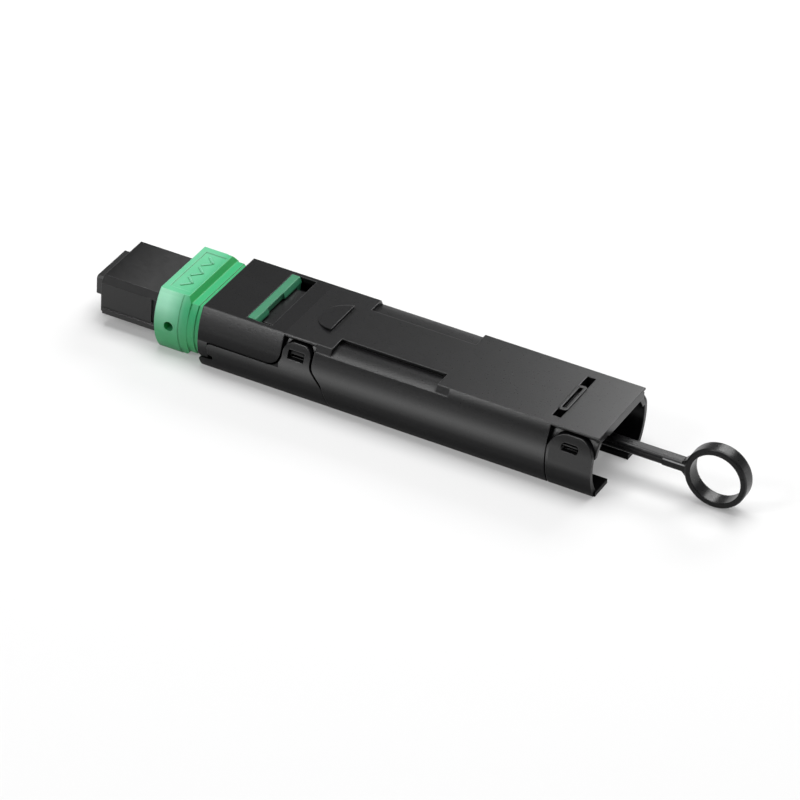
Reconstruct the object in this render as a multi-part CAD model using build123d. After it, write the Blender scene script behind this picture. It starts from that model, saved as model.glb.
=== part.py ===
from build123d import *
import os

# Fibre loopback module: a short multi-fibre plug in a two-part shell, with a pull rod and ring
# that draw the green coupling sleeve back. Millimetres. X runs along the module from the plug
# to the ring, Z is up, and x = 0 is the front edge of the shell until the parts are saved.

# Shell
SHELL_LENGTH = 48.1
SHELL_FLAT = 11.3
SHELL_HEIGHT = 7.6
SHELL_BULGE = 1.3
WALL = 0.55
SEAM = 0.15
TAB_GAP = 0.3
TUCK_GAP = 0.05

# Side walls of the shell, as seen from the side
FLAP_LENGTH = 10.15
FLAP_BOTTOM = 3.85
FLAP_CORNER = 1.7
FLAP_STEP = 0.15
TONGUE_DROP = 1.1
FOOT_TOP = 1.5
BARB_X = 1.25
FRONT_TAB_WIDTH = 3.4
REAR_TAB_WIDTH = 5.35
REAR_TAB_TOP_RADIUS = 2.1
TAB_TOP = 7.05
TAB_CORNER = 1.15
PLATE_LIP = 0.28
LIP_INNER = 5.2

# Top of the shell
WINDOW_FRONT = 5.15
WINDOW_WIDTH = 10.3
SILL_DROP = 0.85
RAMP_END = 14.25
RAMP_RADIUS = 2.5
RAMP_HEIGHT = 0.34
GRIP_FRONT = 16.0
GRIP_LENGTH = 12.8
GRIP_WEB = 6.7
GRIP_DEPTH = 0.5
GRIP_EDGE_DROP = 0.78
SLOT_FRONT = 41.85
SLOT_WIDTH = 1.0
SLOT_LENGTH = 8.6
TONGUE_LENGTH = 5.25
TONGUE_SHIFT = -0.42
LIP_DEPTH = 1.15
CURVE_TOP = 4.9
CURVE_FOOT = 3.3
CURVE_END = 2.6
CURVE_RUN = 1.3
FEET_CUT_WIDTH = 5.1
FEET_CUT_DEPTH = 4.6

# Connector
HOUSING_REACH = 13.45
HOUSING_WIDTH = 9.4
HOUSING_HEIGHT = 4.65
HOUSING_REAR = 4.0
PUSH_LENGTH = 3.0
COLLAR_LENGTH = 0.95
COLLAR_WIDTH = 11.3
COLLAR_TOP = 5.9
COLLAR_FOOT = 1.3
SNOUT_LENGTH = 3.25
HOUSING_CHAMFER = 0.7
RAIL_PROUD = 0.15
RAIL_HEIGHT = 0.75
KEY_PROUD = 0.75
LATCH_DEPTH = 0.3
FERRULE_REACH = 1.45
FERRULE_LENGTH = 8.0
FERRULE_WIDTH = 6.4
FERRULE_HEIGHT = 2.45
NOSE_CHAMFER = 0.25
FLANGE_PROUD = 0.4
FLANGE_LENGTH = 1.9
FERRULE_FIT = 0.05
PIN_HOLE = 0.7
PIN_PITCH = 4.6
FIBRE_PITCH = 0.25
FIBRE_PAIRS = 6
FIBRE_COAT = 0.22
KEEPER_LENGTH = 1.6
BOOT_WIDTH = 3.3
BOOT_THICKNESS = 1.5
BOOT_SEAT = 1.2
BOOT_TAIL = 0.9
BOOT_FIT = 0.05
RIBBON_WIDTH = 3.1
RIBBON_THICKNESS = 0.36

# Coupling sleeve
SLEEVE_FLAT = 9.7
SLEEVE_BULGE = 1.4
HOUSING_NOSE = 7.65
SLEEVE_STEP = 1.75
SLEEVE_SEAM = 2.85
SLEEVE_BAND = 0.85
SEAM_DEPTH = 0.08
PANEL_DEPTH = 0.08
SLEEVE_TAIL = 1.4
SLEEVE_FIT = 0.1
TRAVEL = 1.7
SIDE_HOLE = 1.15
BAR_THICKNESS = 0.95
BAR_FOOT = 0.25

# Sleeve and ferrule springs
SLEEVE_SPRING_OD = 1.1
SLEEVE_WIRE = 0.18
SLEEVE_TURNS = 7
SLEEVE_SPRING_LENGTH = 6.9
FERRULE_WIRE = 0.32
FERRULE_TURNS = 5
SPRING_FIT = 0.05

# Pull rod and ring
RING_X = 59.7
RING_RADIUS = 3.64
RING_BORE = 5.92
RING_DEPTH = 1.84
RING_EDGE = 0.25
ROD_WIDTH = 1.5
ROD_HEIGHT = 1.15
YOKE_X = 27.0
YOKE_THICKNESS = 1.6
STRAP_WIDTH = 0.9
ARM_INNER = 3.95
ARM_THICKNESS = 0.7
STRAP_THICKNESS = 0.7
ROD_GUIDE_X = 38.6
ROD_FIT = 0.1

# Fibre loops
LOOP_X = 18.0
LOOP_RADIUS = 5.4
RIBBON_END = 9.0

AXIS_Z = SHELL_HEIGHT / 2
FERRULE_TIP = -(HOUSING_REACH + FERRULE_REACH)
MODULE_END = RING_X + RING_RADIUS
MIDDLE_X = (FERRULE_TIP + MODULE_END) / 2
REACH = SHELL_FLAT


def barrel(flat, height, bulge, x0, x1):
    # A length of the module's own section: flat top and bottom, sides bowed outwards
    side = flat / 2
    top = AXIS_Z + height / 2
    foot = AXIS_Z - height / 2
    with BuildSketch(Plane.YZ.offset(x0)) as section:
        with BuildLine():
            Line((-side, top), (side, top))
            ThreePointArc((side, top), (side + bulge, AXIS_Z), (side, foot))
            Line((side, foot), (-side, foot))
            ThreePointArc((-side, foot), (-side - bulge, AXIS_Z), (-side, top))
        make_face()
    return extrude(section.sketch, x1 - x0)


def shell_form(inset, x0, x1, bulge=SHELL_BULGE):
    # The shell's outer form, or the same form set inwards by a wall
    return barrel(SHELL_FLAT - 2 * inset, SHELL_HEIGHT - 2 * inset, bulge, x0, x1)


def block(x0, x1, y0, y1, z0, z1):
    return Pos((x0 + x1) / 2, (y0 + y1) / 2, (z0 + z1) / 2) * Box(x1 - x0, y1 - y0, z1 - z0)


def through_sides(points, radii):
    # A side-view outline (x, z) with rounded corners, carried through both walls
    with BuildSketch(Plane.XZ) as outline:
        with BuildLine():
            FilletPolyline(*points, radius=radii, close=True)
        make_face()
    return extrude(outline.sketch, REACH, both=True)


def both_sides(shape):
    return shape + mirror(shape, Plane.XZ)


# Places that several parts share
PLATE_UNDER = SHELL_HEIGHT - WALL
FLAP_BULGE = SHELL_BULGE - FLAP_STEP
FRONT_TAB_X = FLAP_LENGTH + TAB_GAP
FRONT_TAB_END = FRONT_TAB_X + FRONT_TAB_WIDTH
REAR_TAB_END = SHELL_LENGTH - SEAM
REAR_TAB_X = REAR_TAB_END - REAR_TAB_WIDTH
WALL_END = REAR_TAB_X - SEAM
GRIP_END = GRIP_FRONT + GRIP_LENGTH
BAR_FRONT = WINDOW_FRONT + SLEEVE_FIT / 2
BAR_END = BAR_FRONT + BAR_THICKNESS
WINDOW_END = BAR_END + BAR_FOOT + TRAVEL + SLEEVE_FIT
SILL_TOP = SHELL_HEIGHT - SILL_DROP
SLEEVE_REACH = HOUSING_REACH - HOUSING_NOSE
HOUSING_TOP = AXIS_Z + HOUSING_HEIGHT / 2
HOUSING_FOOT = AXIS_Z - HOUSING_HEIGHT / 2
FERRULE_REAR = FERRULE_TIP + FERRULE_LENGTH
FLANGE_X = FERRULE_REAR - FLANGE_LENGTH
FLANGE_WIDTH = FERRULE_WIDTH + 2 * FLANGE_PROUD
FLANGE_HEIGHT = FERRULE_HEIGHT + 2 * FLANGE_PROUD
CAVITY_WIDTH = FLANGE_WIDTH + 2 * FERRULE_FIT
CAVITY_HEIGHT = FLANGE_HEIGHT + 2 * FERRULE_FIT
KEEPER_END = FERRULE_REAR + KEEPER_LENGTH
COLLAR_X = HOUSING_REAR
COLLAR_END = COLLAR_X + COLLAR_LENGTH
SNOUT_END = COLLAR_END + SNOUT_LENGTH
PUSH_FRONT = COLLAR_X - PUSH_LENGTH
LUG_X = COLLAR_X - 1.9
SLEEVE_BORE_WIDTH = HOUSING_WIDTH + 2 * (RAIL_PROUD + SLEEVE_FIT)
SLEEVE_BORE_HEIGHT = HOUSING_HEIGHT + 2 * SLEEVE_FIT
TAIL_INSET = WALL + SLEEVE_FIT
SPRING_Y = HOUSING_WIDTH / 2 + 0.3
SPRING_FRONT = COLLAR_X - SLEEVE_SPRING_LENGTH
ARM_OUTER = ARM_INNER + STRAP_WIDTH
BAR_HALF = WINDOW_WIDTH / 2 - SLEEVE_FIT
ARM_TOP = SHELL_HEIGHT - TAIL_INSET
ARM_FOOT = ARM_TOP - ARM_THICKNESS
ARM_END = BAR_END + BAR_FOOT
STRAP_TOP = ARM_FOOT - SLEEVE_FIT
STRAP_FOOT = STRAP_TOP - STRAP_THICKNESS
HOOK_X = ARM_END - 0.8


def seam_curve(gap):
    # The S-curved seam behind the front tab, drawn as the edge of either half. The gap between
    # the halves closes to a fine joint below the curve.
    x = FRONT_TAB_END + TAB_GAP
    joint = min(gap, TUCK_GAP)
    return [
        (x - gap - 0.05, CURVE_TOP), (x - gap - 0.05 + CURVE_RUN, CURVE_FOOT),
        (x - joint + CURVE_RUN + 0.1, CURVE_END), (x - joint + CURVE_RUN + 0.9, -1),
    ]


# Upper shell: top plate, flaps, long side walls and what is moulded into them
def upper_shell():
    flaps = shell_form(0, 0, FLAP_LENGTH, FLAP_BULGE) - shell_form(WALL, -1, FLAP_LENGTH, FLAP_BULGE)
    tube = shell_form(0, FLAP_LENGTH, SHELL_LENGTH) - shell_form(WALL, FLAP_LENGTH - 1, SHELL_LENGTH + 1)
    notch = FRONT_TAB_END + TAB_GAP
    side = [
        (0, SHELL_HEIGHT + 1), (0, FOOT_TOP + SEAM), (BARB_X - TUCK_GAP, FOOT_TOP + SEAM),
        (BARB_X - TUCK_GAP, FLAP_BOTTOM), (FLAP_LENGTH, FLAP_BOTTOM), (FLAP_LENGTH, PLATE_UNDER),
        (notch, PLATE_UNDER), *seam_curve(0), (WALL_END, -1), (WALL_END, PLATE_UNDER),
        (SHELL_LENGTH + 1, PLATE_UNDER), (SHELL_LENGTH + 1, SHELL_HEIGHT + 1),
    ]
    radii = [0, 0.6, 0, 0, FLAP_CORNER, 0, 0, 1.5, 1.2, 0, 0, 0, 0, 0, 0]
    body = (flaps + tube) & through_sides(side, radii)
    floor_half = SHELL_FLAT / 2 - WALL + SEAM / 2
    body -= block(FLAP_LENGTH, SHELL_LENGTH, -floor_half, floor_half, -1, WALL + SEAM)

    # Tongues that tuck the flaps inside the lower shell, and the flanges behind its tabs
    inner = shell_form(WALL + SEAM / 3, 0, SHELL_LENGTH) - shell_form(2 * WALL, -1, SHELL_LENGTH + 1)
    full = shell_form(WALL / 2, 0, SHELL_LENGTH) - shell_form(2 * WALL, -1, SHELL_LENGTH + 1)
    tongue = (COLLAR_END + TAB_GAP, FLAP_LENGTH - 0.8)
    low = FLAP_BOTTOM - TONGUE_DROP
    body += inner & block(tongue[0], tongue[1], -REACH, REACH, low, FLAP_BOTTOM + 0.3)
    body += full & block(tongue[0], tongue[1], -REACH, REACH, FLAP_BOTTOM + 0.1, FLAP_BOTTOM + 0.7)
    body += inner & block(FLAP_LENGTH - 0.4, notch + 0.4, -REACH, REACH, 5.0, PLATE_UNDER + 0.2)
    body += inner & block(WALL_END - 0.4, SHELL_LENGTH - 0.1, -REACH, REACH, 5.1, PLATE_UNDER + 0.2)
    edge = SHELL_FLAT / 2 + 0.1
    shelf = PLATE_UNDER - 0.12
    lip_foot = SHELL_HEIGHT - PLATE_LIP
    for start, end in ((FLAP_LENGTH, notch), (WALL_END, SHELL_LENGTH + 1)):
        reach = min(end + 0.4, SHELL_LENGTH - 0.1)
        body += full & block(start - 0.4, reach, -edge, edge, shelf, PLATE_UNDER + 0.2)
        body -= both_sides(block(start, end, edge, REACH, PLATE_UNDER, 9))
        body -= both_sides(block(start, end, LIP_INNER, REACH, shelf, lip_foot))

    # Windows through the flanges, with the lugs that stand into the tabs' openings
    body -= both_sides(block(FRONT_TAB_X + 0.8, FRONT_TAB_X + 2.5, 4, REACH, 5.3, 5.75))
    body -= both_sides(block(REAR_TAB_X + 1.6, REAR_TAB_X + 3.55, 4, REACH, 5.35, 5.92))
    body += snap_lugs(FRONT_TAB_X + 0.8, FRONT_TAB_X + 2.5, 5.7, 6.1, 0.35)
    body += snap_lugs(REAR_TAB_X + 1.65, REAR_TAB_X + 3.5, 5.9, 6.02, 0.08)

    # Seats for the grip recesses, then the recesses with their crisp lower edge
    pads = shell_form(WALL / 2, GRIP_FRONT - 0.4, GRIP_END + 0.4)
    pad_foot = SHELL_HEIGHT - GRIP_DEPTH - WALL
    web = GRIP_WEB / 2
    pads &= block(GRIP_FRONT - 1, GRIP_END + 1, web - 0.4, REACH, pad_foot, PLATE_UNDER + 0.2)
    body += both_sides(pads)
    edge_z = SHELL_HEIGHT - GRIP_EDGE_DROP
    edge_y = SHELL_FLAT / 2 + 0.51
    with BuildSketch(Plane.YZ.offset(GRIP_FRONT)) as scoop:
        with BuildLine():
            ThreePointArc(
                (web, SHELL_HEIGHT - GRIP_DEPTH),
                (web + 1.7, SHELL_HEIGHT - GRIP_DEPTH - 0.04),
                (edge_y, edge_z),
            )
            Polyline(
                (edge_y, edge_z), (REACH, edge_z - 0.6), (REACH, 9), (web, 9),
                (web, SHELL_HEIGHT - GRIP_DEPTH),
            )
        make_face()
    body -= both_sides(extrude(scoop.sketch, GRIP_LENGTH))
    with BuildSketch(Plane.YZ.offset(notch)) as bevel:
        with BuildLine():
            Polyline(
                (SHELL_FLAT / 2 - 0.03, SHELL_HEIGHT + 0.05), (edge_y - 0.06, edge_z),
                (REACH, edge_z), (REACH, 9), (SHELL_FLAT / 2 - 0.03, 9), close=True,
            )
        make_face()
    body -= both_sides(extrude(bevel.sketch, GRIP_END + 1.5 - notch))

    # Latch window over a fixed sill, with a slot at each end for the legs of the sleeve's bar
    half = WINDOW_WIDTH / 2
    sill = ARM_INNER - 0.15
    body += block(WINDOW_FRONT - 0.7, WINDOW_END + 0.7, -sill, sill, SILL_TOP - WALL, PLATE_UNDER + 0.1)
    body -= block(WINDOW_FRONT, WINDOW_END, -half, half, SILL_TOP, 9)

    # D-shaped ramp, flush at its round end and standing proud at its straight one
    centre = Pos(RAMP_END, 0, SHELL_HEIGHT - 0.1)
    half_disc = Circle(RAMP_RADIUS + 0.2) & Pos(-RAMP_RADIUS, 0) * Rectangle(2 * RAMP_RADIUS, 9)
    dome = centre * extrude(half_disc, 2)
    with BuildSketch(Plane.XZ) as wedge:
        with BuildLine():
            Polyline(
                (RAMP_END - RAMP_RADIUS - 0.3, SHELL_HEIGHT - 0.1), (RAMP_END, SHELL_HEIGHT - 0.1),
                (RAMP_END, SHELL_HEIGHT + RAMP_HEIGHT),
                (RAMP_END - RAMP_RADIUS, SHELL_HEIGHT), close=True,
            )
        make_face()
    body += dome & extrude(wedge.sketch, REACH, both=True)

    # Cross slot near the ring end, with a raised tongue that carries a groove
    half = SLOT_LENGTH / 2
    tip = TONGUE_LENGTH / 2
    body -= block(SLOT_FRONT, SLOT_FRONT + SLOT_WIDTH, -half, half, 6, 9)
    tongue = block(
        SLOT_FRONT - 0.5, SLOT_FRONT + SLOT_WIDTH + 0.5, -tip, tip, PLATE_UNDER - 0.4, PLATE_UNDER + 0.05
    )
    tongue += Pos(SLOT_FRONT + 0.52, 0, PLATE_UNDER) * extrude(
        RectangleRounded(SLOT_WIDTH + 0.05, TONGUE_LENGTH, 0.35), WALL + 0.16
    )
    tongue -= Pos(SLOT_FRONT + 0.5, 0, SHELL_HEIGHT - 0.25) * extrude(
        RectangleRounded(0.46, TONGUE_LENGTH - 0.9, 0.16), 1
    )
    body += Pos(0, TONGUE_SHIFT, 0) * tongue

    # Turned-down lip across the open end, shallower beside the near tab
    side = SHELL_FLAT / 2 - 0.15
    with BuildSketch(Plane.YZ.offset(SHELL_LENGTH - WALL)) as lip:
        with BuildLine():
            Polyline(
                (-side, PLATE_UNDER + 0.1), (-side, PLATE_UNDER - 0.1), (-3.4, PLATE_UNDER - 0.15),
                (-3.0, SHELL_HEIGHT - LIP_DEPTH), (side, SHELL_HEIGHT - LIP_DEPTH),
                (side, PLATE_UNDER + 0.1), close=True,
            )
        make_face()
    body += extrude(lip.sketch, WALL)

    # Ribs under the plate: one holds the connector's collar down, one closes the rod guide
    body += block(COLLAR_X + 0.1, COLLAR_END - 0.1, -3.6, 3.6, COLLAR_TOP, PLATE_UNDER + 0.1)
    body += block(
        ROD_GUIDE_X, ROD_GUIDE_X + 1.2, -ROD_WIDTH / 2, ROD_WIDTH / 2,
        AXIS_Z + ROD_HEIGHT / 2 + ROD_FIT, PLATE_UNDER + 0.1,
    )
    return body


def snap_lugs(x0, x1, z0, z1, inset):
    # Lugs on the inner flanges that stand into the openings of the lower shell's tabs
    band = shell_form(inset, x0, x1) - shell_form(2 * WALL - 0.1, x0 - 1, x1 + 1)
    return band & block(x0, x1, -REACH, REACH, z0, z1)


# Lower shell: floor, side walls, snap tabs, feet and the seats of the inner parts
def lower_shell():
    tube = shell_form(0, 0, SHELL_LENGTH) - shell_form(WALL, -1, SHELL_LENGTH + 1)
    wall_top = FLAP_BOTTOM - TUCK_GAP
    front = [
        (0, -1), (0, FOOT_TOP), (BARB_X + 0.6, FOOT_TOP + 0.15), (BARB_X + 0.65, 2.2), (BARB_X, 2.35),
        (BARB_X, wall_top), (FRONT_TAB_X, wall_top), (FRONT_TAB_X, TAB_TOP), (FRONT_TAB_END, TAB_TOP),
        *seam_curve(TAB_GAP),
    ]
    front_radii = [0, 0.5, 0.1, 0.1, 0.2, 0.4, FLAP_CORNER, TAB_CORNER, TAB_CORNER, 1.5, 1.2, 0, 0]
    rear = [(REAR_TAB_X, -1), (REAR_TAB_X, TAB_TOP), (REAR_TAB_END, TAB_TOP), (REAR_TAB_END, -1)]
    body = tube & through_sides(front, front_radii)
    body += tube & through_sides(rear, [0, REAR_TAB_TOP_RADIUS, REAR_TAB_TOP_RADIUS, 0])
    body -= block(0, SHELL_LENGTH, -LIP_INNER - TUCK_GAP, LIP_INNER + TUCK_GAP, PLATE_UNDER - SEAM, 9)
    floor_half = SHELL_FLAT / 2 - WALL
    body += block(0, SHELL_LENGTH, -floor_half, floor_half, 0, WALL)
    body += block(REAR_TAB_X, SHELL_LENGTH, -SHELL_FLAT / 2 + 0.1, SHELL_FLAT / 2 - 0.1, 0, WALL)

    # Windows of the front tabs, rounded slots of the rear tabs and the cut between the feet
    window = (FRONT_TAB_X + 0.65, FRONT_TAB_X + 2.65, 5.25, 6.3)
    body -= through_sides(
        [(window[0], window[2]), (window[1], window[2]), (window[1], window[3]), (window[0], window[3])],
        [0.15] * 4,
    )
    slot = (REAR_TAB_X + 1.55, REAR_TAB_X + 3.6, 5.3, 6.25)
    body -= through_sides(
        [(slot[0], slot[2]), (slot[1], slot[2]), (slot[1], slot[3]), (slot[0], slot[3])],
        [0.4] * 4,
    )
    cut = Pos(SHELL_LENGTH - FEET_CUT_DEPTH / 2 + 1, 0, 0) * extrude(
        RectangleRounded(FEET_CUT_DEPTH + 2, FEET_CUT_WIDTH, 0.8), 3, both=True
    )
    body -= cut & block(REAR_TAB_X - 1, SHELL_LENGTH + 1, -REACH, REACH, -1, WALL + 0.1)

    # Cradle that traps the connector's collar
    start = COLLAR_X - 0.7
    end = COLLAR_END + 0.75
    body += block(start, end, -4.6, 4.6, WALL / 2, COLLAR_FOOT)
    body += block(start, start + 0.1, -4.6, 4.6, WALL / 2, HOUSING_FOOT - FERRULE_FIT)
    body += block(COLLAR_END + FERRULE_FIT, end, -4.6, 4.6, WALL / 2, 2.5)

    # Spool of four ribs round a post, which the fibre loops lie on
    rest = AXIS_Z - FIBRE_COAT / 2
    long_rib = LOOP_RADIUS + 0.3
    spool = Pos(LOOP_X, 0, WALL / 2) * Cylinder(
        3.0, AXIS_Z + 0.4 - WALL / 2, align=(Align.CENTER, Align.CENTER, Align.MIN)
    )
    spool -= Pos(LOOP_X, 0, WALL) * Cylinder(2.4, 9, align=(Align.CENTER, Align.CENTER, Align.MIN))
    ribs = block(LOOP_X - long_rib, LOOP_X + long_rib, -0.3, 0.3, WALL / 2, rest)
    ribs += block(LOOP_X - 0.3, LOOP_X + 0.3, -long_rib, long_rib, WALL / 2, rest)
    ribs = ribs & shell_form(WALL + SEAM, 0, SHELL_LENGTH)
    body += block(LOOP_X - 2.9, LOOP_X + 2.9, -2.9, 2.9, WALL / 2, WALL + SEAM)
    body += spool + (ribs - Pos(LOOP_X, 0, WALL) * Cylinder(2.7, 20))

    # Saddle that guides the rod
    saddle = block(ROD_GUIDE_X, ROD_GUIDE_X + 1.2, -4.6, 4.6, WALL / 2, 5.0)
    gap = ROD_WIDTH / 2 + ROD_FIT
    saddle -= block(ROD_GUIDE_X - 1, ROD_GUIDE_X + 3, -gap, gap, AXIS_Z - ROD_HEIGHT / 2 - ROD_FIT, 9)
    body += saddle
    return body


# Plug housing: chamfered top edges, lower guide rails, key underneath, side latch recesses
def plug_housing():
    half = HOUSING_WIDTH / 2
    cut = HOUSING_CHAMFER
    with BuildSketch(Plane.YZ.offset(-HOUSING_REACH)) as section:
        with BuildLine():
            Polyline(
                (-half, HOUSING_FOOT + 0.3), (-half, HOUSING_TOP - cut), (-half + cut, HOUSING_TOP),
                (half - cut, HOUSING_TOP), (half, HOUSING_TOP - cut), (half, HOUSING_FOOT + 0.3),
                (half - 0.3, HOUSING_FOOT), (-half + 0.3, HOUSING_FOOT), close=True,
            )
        make_face()
    body = extrude(section.sketch, HOUSING_REACH + HOUSING_REAR)
    rail = half + RAIL_PROUD
    rail_top = HOUSING_FOOT + RAIL_HEIGHT
    key_foot = HOUSING_FOOT - KEY_PROUD
    body += block(-HOUSING_REACH + 0.25, HOUSING_REAR, -rail, rail, HOUSING_FOOT + 0.12, rail_top)
    body += block(-HOUSING_REACH + 1.2, -SLEEVE_REACH - 0.9, -1.5, 1.5, key_foot, HOUSING_FOOT + 0.1)

    # Recesses that the adapter's latches grip, and channels for the sleeve springs
    latch = (-SLEEVE_REACH - 1.25, -SLEEVE_REACH + 1.8)
    floor = half - LATCH_DEPTH
    body -= both_sides(block(latch[0], latch[1], floor, 9, rail_top + 0.15, HOUSING_TOP - cut))
    channel = Pos(0, SPRING_Y, AXIS_Z) * Rot(0, 90, 0) * Cylinder(SLEEVE_SPRING_OD / 2 + SPRING_FIT, 40)
    body -= both_sides(channel & block(SPRING_FRONT - SEAM, 9, 0, 9, 0, 9))

    # Bore for the ferrule's nose, wider cavity behind it, windows for the rear body's lugs
    nose = (FERRULE_WIDTH / 2 + FERRULE_FIT, FERRULE_HEIGHT / 2 + FERRULE_FIT)
    body -= block(-HOUSING_REACH - 1, 0, -nose[0], nose[0], AXIS_Z - nose[1], AXIS_Z + nose[1])
    wide = (CAVITY_WIDTH / 2, CAVITY_HEIGHT / 2)
    body -= block(FLANGE_X, HOUSING_REAR + 1, -wide[0], wide[0], AXIS_Z - wide[1], AXIS_Z + wide[1])
    body -= block(LUG_X - 0.1, LUG_X + 1.1, -9, 9, AXIS_Z - 0.5, AXIS_Z + 0.5)
    return body


# Twelve-fibre ferrule with its rear flange, guide holes and filling window
def mt_ferrule():
    nose = block(
        FERRULE_TIP, FERRULE_REAR, -FERRULE_WIDTH / 2, FERRULE_WIDTH / 2,
        AXIS_Z - FERRULE_HEIGHT / 2, AXIS_Z + FERRULE_HEIGHT / 2,
    )
    nose = chamfer(nose.edges().filter_by(Axis.X), NOSE_CHAMFER)
    body = nose + block(
        FLANGE_X, FERRULE_REAR, -FLANGE_WIDTH / 2, FLANGE_WIDTH / 2,
        AXIS_Z - FLANGE_HEIGHT / 2, AXIS_Z + FLANGE_HEIGHT / 2,
    )
    hole = Pos(0, PIN_PITCH / 2, AXIS_Z) * Rot(0, 90, 0) * Cylinder(PIN_HOLE / 2, 60)
    body -= both_sides(hole)
    body -= window_space()
    return body - boot_space(FERRULE_REAR - BOOT_SEAT, FERRULE_REAR + 1, BOOT_FIT)


def window_space():
    top = AXIS_Z + FERRULE_HEIGHT / 2
    half = RIBBON_WIDTH / 2
    return block(FERRULE_TIP + 2.9, FERRULE_TIP + 5.3, -half, half, AXIS_Z - 0.2, top + 0.2)


def window_epoxy():
    top = AXIS_Z + FERRULE_HEIGHT / 2 - 0.08
    return window_space() & block(FERRULE_TIP, FERRULE_REAR, -9, 9, 0, top)


def boot_space(x0, x1, clear):
    # The boot's own section, or the opening for it, set outwards by its clearance
    half = BOOT_WIDTH / 2 + clear
    thick = BOOT_THICKNESS / 2 + clear
    return block(x0, x1, -half, half, AXIS_Z - thick, AXIS_Z + thick)


def ferrule_boot():
    boot = boot_space(FERRULE_REAR - BOOT_SEAT, KEEPER_END + BOOT_TAIL, 0)
    return fillet(boot.edges().filter_by(Axis.X), 0.3)


def pin_keeper():
    keeper = block(
        FERRULE_REAR, KEEPER_END, -FLANGE_WIDTH / 2, FLANGE_WIDTH / 2,
        AXIS_Z - FLANGE_HEIGHT / 2, AXIS_Z + FLANGE_HEIGHT / 2,
    )
    keeper = fillet(keeper.edges().filter_by(Axis.X), 0.3)
    keeper -= boot_space(FERRULE_REAR - 1, KEEPER_END + 1, BOOT_FIT)
    hole = Pos(0, PIN_PITCH / 2, AXIS_Z) * Rot(0, 90, 0) * Cylinder(PIN_HOLE / 2, 60)
    return keeper - both_sides(hole)


# Rear body of the connector: spring seat, side lugs, collar in the shell's cradle and snout
def spring_push():
    seat = (CAVITY_WIDTH / 2 - FERRULE_FIT, CAVITY_HEIGHT / 2 - FERRULE_FIT)
    body = block(PUSH_FRONT, COLLAR_END, -seat[0], seat[0], AXIS_Z - seat[1], AXIS_Z + seat[1])
    lug = HOUSING_WIDTH / 2 - 0.4
    body += block(LUG_X, LUG_X + 1, -lug, lug, AXIS_Z - 0.4, AXIS_Z + 0.4)
    with BuildSketch(Plane.YZ.offset(COLLAR_X)) as collar:
        with Locations((0, (COLLAR_TOP + COLLAR_FOOT) / 2)):
            RectangleRounded(COLLAR_WIDTH, COLLAR_TOP - COLLAR_FOOT, 1.0)
    body += extrude(collar.sketch, COLLAR_END - COLLAR_X)
    with BuildSketch(Plane.YZ.offset(COLLAR_X)) as snout:
        with Locations((0, AXIS_Z)):
            RectangleRounded(5.2, 2.4, 0.5)
    body += extrude(snout.sketch, SNOUT_END - COLLAR_X)
    bore = (RIBBON_WIDTH / 2 + 0.2, RIBBON_THICKNESS / 2 + 0.3)
    return body - block(0, SNOUT_END + 1, -bore[0], bore[0], AXIS_Z - bore[1], AXIS_Z + bore[1])


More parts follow.
